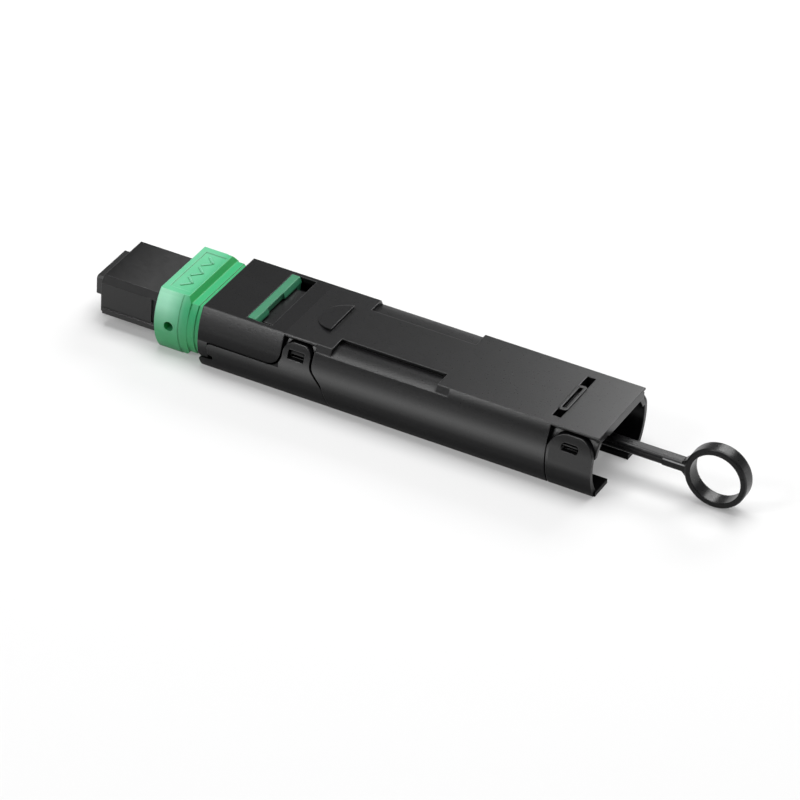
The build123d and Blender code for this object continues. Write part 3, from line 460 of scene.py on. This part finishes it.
# Fibre ends: twelve polished glass ends in a row across the ferrule's face, 0.25 mm apart,
# standing a few micrometres proud of it. Each is a low dome 0.125 mm across.
END_COUNT = 12
END_PITCH = 0.00025
END_RADIUS = 0.0000625
END_PROUD = 0.000012
ferrule_low, ferrule_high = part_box("mt_ferrule")
tree = bpy.data.node_groups.new("fibre_ends_row", "GeometryNodeTree")
tree.interface.new_socket("Geometry", in_out="OUTPUT", socket_type="NodeSocketGeometry")
for name, kind in (
    ("Count", "NodeSocketInt"), ("Pitch", "NodeSocketFloat"), ("Radius", "NodeSocketFloat"),
    ("Proud", "NodeSocketFloat"), ("Finish", "NodeSocketMaterial"),
):
    tree.interface.new_socket(name, in_out="INPUT", socket_type=kind)
given = add_node(tree, "NodeGroupInput")
row = add_node(tree, "GeometryNodeMeshLine", {"Count": given.outputs["Count"]})
step = add_node(tree, "ShaderNodeCombineXYZ", {"Y": given.outputs["Pitch"]})
tree.links.new(step.outputs[0], row.inputs["Offset"])
dome = add_node(tree, "GeometryNodeMeshUVSphere", {
    "Segments": 16, "Rings": 8, "Radius": given.outputs["Radius"],
})
flat = add_node(tree, "ShaderNodeMath", {
    0: given.outputs["Proud"], 1: given.outputs["Radius"],
}, operation="DIVIDE")
press = add_node(tree, "ShaderNodeCombineXYZ", {"X": flat.outputs[0], "Y": 1.0, "Z": 1.0})
dome = add_node(tree, "GeometryNodeTransform", {
    "Geometry": dome.outputs[0], "Scale": press.outputs[0],
})
ends = add_node(tree, "GeometryNodeInstanceOnPoints", {
    "Points": row.outputs[0], "Instance": dome.outputs[0],
})
real = add_node(tree, "GeometryNodeRealizeInstances", {"Geometry": ends.outputs[0]})
coated = add_node(tree, "GeometryNodeSetMaterial", {
    "Geometry": real.outputs[0], "Material": given.outputs["Finish"],
})
add_node(tree, "NodeGroupOutput", {"Geometry": coated.outputs[0]})

# Silica glass: bright glossy dots with a faint haze
silica = bpy.data.materials.new("polished_silica_fibre")
silica.use_nodes = True
glass_tree = silica.node_tree
glass_tree.nodes.clear()
place = add_node(glass_tree, "ShaderNodeTexCoord")
haze = add_node(glass_tree, "ShaderNodeTexNoise", {
    "Vector": place.outputs["Object"], "Scale": 1 / 0.00004,
})
colour = add_node(glass_tree, "ShaderNodeMix", {
    "Factor": haze.outputs[0], "A": linear("#9fa8aa"), "B": linear("#d6dcdc"),
}, data_type="RGBA")
surface = add_node(glass_tree, "ShaderNodeBsdfPrincipled", {
    "Base Color": colour.outputs["Result"], "Roughness": 0.08, "IOR": 1.46,
})
add_node(glass_tree, "ShaderNodeOutputMaterial", {"Surface": surface.outputs[0]})


def grown(name, tree, values, place):
    # Runs a geometry tree on an empty mesh and keeps its result as a plain mesh in place
    carrier = bpy.data.objects.new(name + "_tree", bpy.data.meshes.new(name + "_tree"))
    scene.collection.objects.link(carrier)
    modifier = carrier.modifiers.new("tree", "NODES")
    modifier.node_group = tree
    for item in tree.interface.items_tree:
        if item.in_out == "INPUT" and item.name in values:
            modifier[item.identifier] = values[item.name]
    carrier.update_tag()
    depsgraph = bpy.context.evaluated_depsgraph_get()
    mesh = bpy.data.meshes.new_from_object(carrier.evaluated_get(depsgraph), depsgraph=depsgraph)
    bpy.data.objects.remove(carrier)
    mesh.name = name
    mesh.transform(mathutils.Matrix.Translation(place))
    piece = bpy.data.objects.new(name, mesh)
    scene.collection.objects.link(piece)
    return piece


fibre_ends = grown(
    "fibre_ends", tree,
    {
        "Count": END_COUNT, "Pitch": END_PITCH, "Radius": END_RADIUS, "Proud": END_PROUD,
        "Finish": silica,
    },
    (
        ferrule_low.x, (1 - END_COUNT) / 2 * END_PITCH,
        (ferrule_low.z + ferrule_high.z) / 2,
    ),
)
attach(fibre_ends, "ferrule")


# Sleeve: green PBT coupling sleeve with its arms and bar, one moulding that slides along the
# plug. Its mould was blasted, so it is satin with soft edges.
green = bpy.data.materials.new("green_pbt_satin")
green.use_nodes = True
tree = green.node_tree
tree.nodes.clear()
place = add_node(tree, "ShaderNodeTexCoord")
# Blasting leaves pits of about 0.06 mm, drawn at 0.2 mm so that they show
pits = add_node(tree, "ShaderNodeTexNoise", {
    "Vector": place.outputs["Object"], "Scale": 1 / 0.0002, "Detail": 4, "Roughness": 0.6,
})
swirl = add_node(tree, "ShaderNodeTexNoise", {
    "Vector": place.outputs["Object"], "Scale": 1 / 0.003, "Detail": 3,
})
tone = add_node(tree, "ShaderNodeMapRange", {
    "Value": swirl.outputs[0], "From Min": 0.3, "From Max": 0.7, "To Min": 0.0, "To Max": 1.0,
})
colour = add_node(tree, "ShaderNodeMix", {
    "Factor": tone.outputs[0], "A": linear("#4cb381"), "B": linear("#5aba8b"),
}, data_type="RGBA")
dull = add_node(tree, "ShaderNodeMapRange", {
    "Value": pits.outputs[0], "From Min": 0.3, "From Max": 0.7, "To Min": 0.4, "To Max": 0.5,
})
edge = add_node(tree, "ShaderNodeBevel", {"Radius": 0.0002}, samples=8)
relief = add_node(tree, "ShaderNodeBump", {
    "Height": pits.outputs[0], "Strength": 0.2, "Distance": 0.00001, "Normal": edge.outputs[0],
})
# A painted highlight, a pale line, runs along the sleeve's edges
flat = add_node(tree, "ShaderNodeNewGeometry")
turn = add_node(tree, "ShaderNodeVectorMath", {
    0: edge.outputs[0], 1: flat.outputs["True Normal"],
}, operation="DOT_PRODUCT")
edge_highlight = add_node(tree, "ShaderNodeMapRange", {
    "Value": turn.outputs["Value"], "From Min": 0.99, "From Max": 0.8, "To Min": 0.0, "To Max": 0.8,
})
colour = add_node(tree, "ShaderNodeMix", {
    "Factor": edge_highlight.outputs[0], "A": colour.outputs["Result"], "B": linear("#8fd8b4"),
}, data_type="RGBA")
# Fitted to the photograph: the sides and the top are paler towards the front, a painted highlight,
# and the narrower rear is a deeper green, painted shade
part = add_node(tree, "ShaderNodeSeparateXYZ", {"Vector": place.outputs["Object"]})
facing = add_node(tree, "ShaderNodeSeparateXYZ", {"Vector": flat.outputs["True Normal"]})
rear_shade = add_node(tree, "ShaderNodeMapRange", {
    "Value": part.outputs["X"], "From Min": -0.0275, "From Max": -0.0258, "To Min": 0.0,
    "To Max": 0.85,
})
colour = add_node(tree, "ShaderNodeMix", {
    "Factor": rear_shade.outputs[0], "A": colour.outputs["Result"], "B": linear("#1ea868"),
}, data_type="RGBA")
sideways = add_node(tree, "ShaderNodeMath", {0: facing.outputs["Y"]}, operation="ABSOLUTE")
sideways = add_node(tree, "ShaderNodeMapRange", {
    "Value": sideways.outputs[0], "From Min": 0.5, "From Max": 0.85, "To Min": 0.0, "To Max": 1.0,
})
upward = add_node(tree, "ShaderNodeMapRange", {
    "Value": facing.outputs["Z"], "From Min": 0.8, "From Max": 0.95, "To Min": 0.0, "To Max": 0.12,
})
sideways = add_node(tree, "ShaderNodeMath", {
    0: sideways.outputs[0], 1: upward.outputs[0],
}, operation="MAXIMUM")
front = add_node(tree, "ShaderNodeMapRange", {
    "Value": part.outputs["X"], "From Min": -0.0287, "From Max": -0.0266, "To Min": 1.0,
    "To Max": 0.0,
})
high = add_node(tree, "ShaderNodeMapRange", {
    "Value": part.outputs["Z"], "From Min": 0.0028, "From Max": 0.006, "To Min": 0.0, "To Max": 1.0,
})
front_highlight = add_node(tree, "ShaderNodeMath", {
    0: sideways.outputs[0], 1: front.outputs[0],
}, operation="MULTIPLY")
front_highlight = add_node(tree, "ShaderNodeMath", {
    0: front_highlight.outputs[0], 1: high.outputs[0],
}, operation="MULTIPLY")
colour = add_node(tree, "ShaderNodeMix", {
    "Factor": front_highlight.outputs[0], "A": colour.outputs["Result"], "B": linear("#a6edc9"),
}, data_type="RGBA")
# The step across it, its hollows and the foot of its sides get painted shade, a deeper green,
# fitted as well
hollow_shade = add_node(tree, "ShaderNodeAmbientOcclusion", {"Distance": 0.0012}, samples=8)
hollow_shade = add_node(tree, "ShaderNodeMapRange", {
    "Value": hollow_shade.outputs["AO"], "From Min": 0.9, "From Max": 0.6, "To Min": 0.0, "To Max": 0.4,
})
across = add_node(tree, "ShaderNodeMapRange", {
    "Value": facing.outputs["X"], "From Min": 0.2, "From Max": 0.6, "To Min": 0.0, "To Max": 0.95,
})
foot = add_node(tree, "ShaderNodeMapRange", {
    "Value": part.outputs["Z"], "From Min": 0.0058, "From Max": 0.0022, "To Min": 0.0,
    "To Max": 0.6,
})
green_shade = add_node(tree, "ShaderNodeMath", {
    0: hollow_shade.outputs[0], 1: across.outputs[0],
}, operation="MAXIMUM")
green_shade = add_node(tree, "ShaderNodeMath", {
    0: green_shade.outputs[0], 1: foot.outputs[0],
}, operation="MAXIMUM")
colour = add_node(tree, "ShaderNodeMix", {
    "Factor": green_shade.outputs[0], "A": colour.outputs["Result"], "B": linear("#1f9c4e"),
}, data_type="RGBA")
# The arms and the bar, behind the sleeve proper, get painted shade, darker as the bar low in the
# window is
ARM_ROOT = -0.0215
bar_shade = add_node(tree, "ShaderNodeMath", {
    0: part.outputs["X"], 1: ARM_ROOT,
}, operation="GREATER_THAN")
colour = add_node(tree, "ShaderNodeMix", {
    "Factor": bar_shade.outputs[0], "A": colour.outputs["Result"], "B": linear("#34805d"),
}, data_type="RGBA")
surface = add_node(tree, "ShaderNodeBsdfPrincipled", {
    "Base Color": colour.outputs["Result"], "Roughness": dull.outputs[0],
    "Normal": relief.outputs[0], "IOR": 1.55, "Specular IOR Level": 0.5,
    "Subsurface Weight": 0.08, "Subsurface Radius": (0.3, 1.0, 0.5), "Subsurface Scale": 0.0004,
})
add_node(tree, "ShaderNodeOutputMaterial", {"Surface": surface.outputs[0]})
dress(["coupling_sleeve"], green)


# Pull marks: a row of small chevrons, moulded with the sleeve, stands in the shallow panel on
# its top and points the way it is pulled. Each is two bars joined at the point.
MARK_COUNT = 3
MARK_PITCH = 0.0023
MARK_LENGTH = 0.0014
MARK_STROKE = 0.00028
MARK_RISE = 0.00007
MARK_POINT = 0.00247
PANEL_FLOOR = 0.00752
sleeve_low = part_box("coupling_sleeve")[0]
tree = bpy.data.node_groups.new("pull_marks_row", "GeometryNodeTree")
tree.interface.new_socket("Geometry", in_out="OUTPUT", socket_type="NodeSocketGeometry")
for name, kind in (
    ("Count", "NodeSocketInt"), ("Pitch", "NodeSocketFloat"), ("Length", "NodeSocketFloat"),
    ("Stroke", "NodeSocketFloat"), ("Rise", "NodeSocketFloat"), ("Finish", "NodeSocketMaterial"),
):
    tree.interface.new_socket(name, in_out="INPUT", socket_type=kind)
given = add_node(tree, "NodeGroupInput")
size = add_node(tree, "ShaderNodeCombineXYZ", {
    "X": given.outputs["Length"], "Y": given.outputs["Stroke"], "Z": given.outputs["Rise"],
})
bar = add_node(tree, "GeometryNodeMeshCube", {"Size": size.outputs[0]})
shift = add_node(tree, "ShaderNodeMath", {
    0: given.outputs["Length"], 1: -0.46,
}, operation="MULTIPLY")
shift = add_node(tree, "ShaderNodeCombineXYZ", {"X": shift.outputs[0]})
bar = add_node(tree, "GeometryNodeTransform", {
    "Geometry": bar.outputs[0], "Translation": shift.outputs[0],
})
left = add_node(tree, "GeometryNodeTransform", {
    "Geometry": bar.outputs[0], "Rotation": (0, 0, math.radians(45)),
})
right_bar = add_node(tree, "GeometryNodeTransform", {
    "Geometry": bar.outputs[0], "Rotation": (0, 0, math.radians(-45)),
})
chevron = add_node(tree, "GeometryNodeMeshBoolean", {}, operation="UNION")
tree.links.new(left.outputs[0], chevron.inputs["Mesh 2"])
tree.links.new(right_bar.outputs[0], chevron.inputs["Mesh 2"])
row = add_node(tree, "GeometryNodeMeshLine", {"Count": given.outputs["Count"]})
step = add_node(tree, "ShaderNodeCombineXYZ", {"Y": given.outputs["Pitch"]})
tree.links.new(step.outputs[0], row.inputs["Offset"])
marks = add_node(tree, "GeometryNodeInstanceOnPoints", {
    "Points": row.outputs[0], "Instance": chevron.outputs["Mesh"],
})
real = add_node(tree, "GeometryNodeRealizeInstances", {"Geometry": marks.outputs[0]})
coated = add_node(tree, "GeometryNodeSetMaterial", {
    "Geometry": real.outputs[0], "Material": given.outputs["Finish"],
})
add_node(tree, "NodeGroupOutput", {"Geometry": coated.outputs[0]})
pull_marks = grown(
    "pull_marks", tree,
    {
        "Count": MARK_COUNT, "Pitch": MARK_PITCH, "Length": MARK_LENGTH,
        "Stroke": MARK_STROKE, "Rise": MARK_RISE, "Finish": green,
    },
    (
        sleeve_low.x + MARK_POINT, (1 - MARK_COUNT) / 2 * MARK_PITCH,
        PANEL_FLOOR + MARK_RISE / 2,
    ),
)
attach(pull_marks, "puller")


# Springs: two small coils return the sleeve and an oval one pushes the ferrule forward, all
# wound from stainless wire.
steel = bpy.data.materials.new("stainless_spring_wire")
steel.use_nodes = True
tree = steel.node_tree
tree.nodes.clear()
place = add_node(tree, "ShaderNodeTexCoord")
drawn = add_node(tree, "ShaderNodeTexNoise", {
    "Vector": place.outputs["Object"], "Scale": 1 / 0.0002, "Detail": 3,
})
colour = add_node(tree, "ShaderNodeMix", {
    "Factor": drawn.outputs[0], "A": linear("#b9bbbc"), "B": linear("#cfd1d2"),
}, data_type="RGBA")
dull = add_node(tree, "ShaderNodeMapRange", {
    "Value": drawn.outputs[0], "From Min": 0.3, "From Max": 0.7, "To Min": 0.2, "To Max": 0.34,
})
surface = add_node(tree, "ShaderNodeBsdfPrincipled", {
    "Base Color": colour.outputs["Result"], "Roughness": dull.outputs[0], "Metallic": 1.0,
})
add_node(tree, "ShaderNodeOutputMaterial", {"Surface": surface.outputs[0]})

tree = bpy.data.node_groups.new("wound_spring", "GeometryNodeTree")
tree.interface.new_socket("Geometry", in_out="OUTPUT", socket_type="NodeSocketGeometry")
for name, kind in (
    ("Turns", "NodeSocketFloat"), ("Length", "NodeSocketFloat"), ("Across", "NodeSocketFloat"),
    ("Upright", "NodeSocketFloat"), ("Wire", "NodeSocketFloat"), ("Finish", "NodeSocketMaterial"),
):
    tree.interface.new_socket(name, in_out="INPUT", socket_type=kind)
given = add_node(tree, "NodeGroupInput")
coil = add_node(tree, "GeometryNodeCurveSpiral", {
    "Resolution": 28, "Rotations": given.outputs["Turns"], "Start Radius": 1.0, "End Radius": 1.0,
    "Height": given.outputs["Length"],
})
coil = add_node(tree, "GeometryNodeTransform", {
    "Geometry": coil.outputs[0], "Rotation": (0, math.pi / 2, 0),
})
turned = add_node(tree, "ShaderNodeCombineXYZ", {
    "X": 1.0, "Y": given.outputs["Across"], "Z": given.outputs["Upright"],
})
coil = add_node(tree, "GeometryNodeTransform", {
    "Geometry": coil.outputs[0], "Scale": turned.outputs[0],
})
round_wire = add_node(tree, "ShaderNodeMath", {
    0: given.outputs["Wire"], 1: 0.5,
}, operation="MULTIPLY")
round_wire = add_node(tree, "GeometryNodeCurvePrimitiveCircle", {
    "Resolution": 10, "Radius": round_wire.outputs[0],
})
wound = add_node(tree, "GeometryNodeCurveToMesh", {
    "Curve": coil.outputs[0], "Profile Curve": round_wire.outputs[0], "Fill Caps": True,
})
real = add_node(tree, "GeometryNodeRealizeInstances", {"Geometry": wound.outputs[0]})
coated = add_node(tree, "GeometryNodeSetMaterial", {
    "Geometry": real.outputs[0], "Material": given.outputs["Finish"],
})
add_node(tree, "NodeGroupOutput", {"Geometry": coated.outputs[0]})

# Node, turns, wire, joint and how far the moving end comes in over that joint's travel
for node, turns, wire, joint, travel in (
    ("sleeve_spring_near", 7, 0.00018, "sleeve_pull", 0.0017),
    ("sleeve_spring_far", 7, 0.00018, "sleeve_pull", 0.0017),
    ("ferrule_spring", 5, 0.00032, "ferrule_float", 0.0005),
):
    low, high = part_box(node)
    length = high.x - low.x
    middle = (low + high) / 2
    spring = grown("wound_" + node, tree, {
        "Turns": float(turns), "Length": length - wire, "Across": (high.y - low.y - wire) / 2,
        "Upright": (high.z - low.z - wire) / 2, "Wire": wire, "Finish": steel,
    }, (low.x + wire / 2, middle.y, middle.z))
    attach(spring, "module")
    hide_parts(node)
    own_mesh(spring)


# Pull rod and ring: one black acetal moulding from a polished mould, glossy, with the long
# soft light bands of a smooth round surface.
acetal = bpy.data.materials.new("black_acetal_glossy")
acetal.use_nodes = True
tree = acetal.node_tree
tree.nodes.clear()
place = add_node(tree, "ShaderNodeTexCoord")
sink = add_node(tree, "ShaderNodeTexNoise", {
    "Vector": place.outputs["Object"], "Scale": 1 / 0.0025, "Detail": 2,
})
rub = add_node(tree, "ShaderNodeTexNoise", {
    "Vector": place.outputs["Object"], "Scale": 1 / 0.0003, "Detail": 4,
})
colour = add_node(tree, "ShaderNodeMix", {
    "Factor": sink.outputs[0], "A": linear("#0f0f10"), "B": linear("#161617"),
}, data_type="RGBA")
dull = add_node(tree, "ShaderNodeMapRange", {
    "Value": rub.outputs[0], "From Min": 0.35, "From Max": 0.75, "To Min": 0.27, "To Max": 0.33,
})
edge = add_node(tree, "ShaderNodeBevel", {"Radius": 0.00025}, samples=8)
relief = add_node(tree, "ShaderNodeBump", {
    "Height": sink.outputs[0], "Strength": 0.1, "Distance": 0.00005, "Normal": edge.outputs[0],
})
# The narrow ledges of the cheeks beside the ring are painted pale, a painted highlight as they show
# in the photograph
part = add_node(tree, "ShaderNodeSeparateXYZ", {"Vector": place.outputs["Object"]})
aside = add_node(tree, "ShaderNodeMath", {0: part.outputs["Y"]}, operation="ABSOLUTE")
ledge_highlight = add_node(tree, "ShaderNodeMapRange", {
    "Value": aside.outputs[0], "From Min": 0.00070, "From Max": 0.00076, "To Min": 0.0,
    "To Max": 0.9,
})
for axis, start, end in (("Z", 0.00405, 0.00411), ("X", 0.0292, 0.0293), ("X", 0.0320, 0.0317)):
    step = add_node(tree, "ShaderNodeMapRange", {
        "Value": part.outputs[axis], "From Min": start, "From Max": end,
    })
    ledge_highlight = add_node(tree, "ShaderNodeMath", {
        0: ledge_highlight.outputs[0], 1: step.outputs[0],
    }, operation="MULTIPLY")
colour = add_node(tree, "ShaderNodeMix", {
    "Factor": ledge_highlight.outputs[0], "A": colour.outputs["Result"], "B": linear("#a2a2a3"),
}, data_type="RGBA")
# The ring's flat faces get less painted sheen than its rims, set by the specular level, fitted to
# the photograph
flat = add_node(tree, "ShaderNodeNewGeometry")
facing = add_node(tree, "ShaderNodeSeparateXYZ", {"Vector": flat.outputs["True Normal"]})
facing = add_node(tree, "ShaderNodeMath", {0: facing.outputs["Y"]}, operation="ABSOLUTE")
painted_sheen = add_node(tree, "ShaderNodeMapRange", {
    "Value": facing.outputs[0], "From Min": 0.8, "From Max": 0.97, "To Min": 0.42, "To Max": 0.2,
})
surface = add_node(tree, "ShaderNodeBsdfPrincipled", {
    "Base Color": colour.outputs["Result"], "Roughness": dull.outputs[0],
    "Normal": relief.outputs[0], "IOR": 1.48, "Specular IOR Level": painted_sheen.outputs[0],
})
add_node(tree, "ShaderNodeOutputMaterial", {"Surface": surface.outputs[0]})
dress(["pull_rod"], acetal)


# Fibres: a coated ribbon from the boot to six loops that lie one inside the other round the
# spool. Each is glass 0.125 mm thick in acrylate.
acrylate = bpy.data.materials.new("acrylate_fibre_coating")
acrylate.use_nodes = True
tree = acrylate.node_tree
tree.nodes.clear()
place = add_node(tree, "ShaderNodeTexCoord")
ink = add_node(tree, "ShaderNodeTexNoise", {
    "Vector": place.outputs["Object"], "Scale": 1 / 0.0012, "Detail": 2,
})
colour = add_node(tree, "ShaderNodeMix", {
    "Factor": ink.outputs[0], "A": linear("#5fb6c4"), "B": linear("#79cad6"),
}, data_type="RGBA")
dull = add_node(tree, "ShaderNodeMapRange", {
    "Value": ink.outputs[0], "From Min": 0.3, "From Max": 0.7, "To Min": 0.25, "To Max": 0.35,
})
surface = add_node(tree, "ShaderNodeBsdfPrincipled", {
    "Base Color": colour.outputs["Result"], "Roughness": dull.outputs[0], "IOR": 1.5,
})
add_node(tree, "ShaderNodeOutputMaterial", {"Surface": surface.outputs[0]})
dress(["fibre_ribbon"] + ["fibre_loop_" + letter for letter in "abcdef"], acrylate)
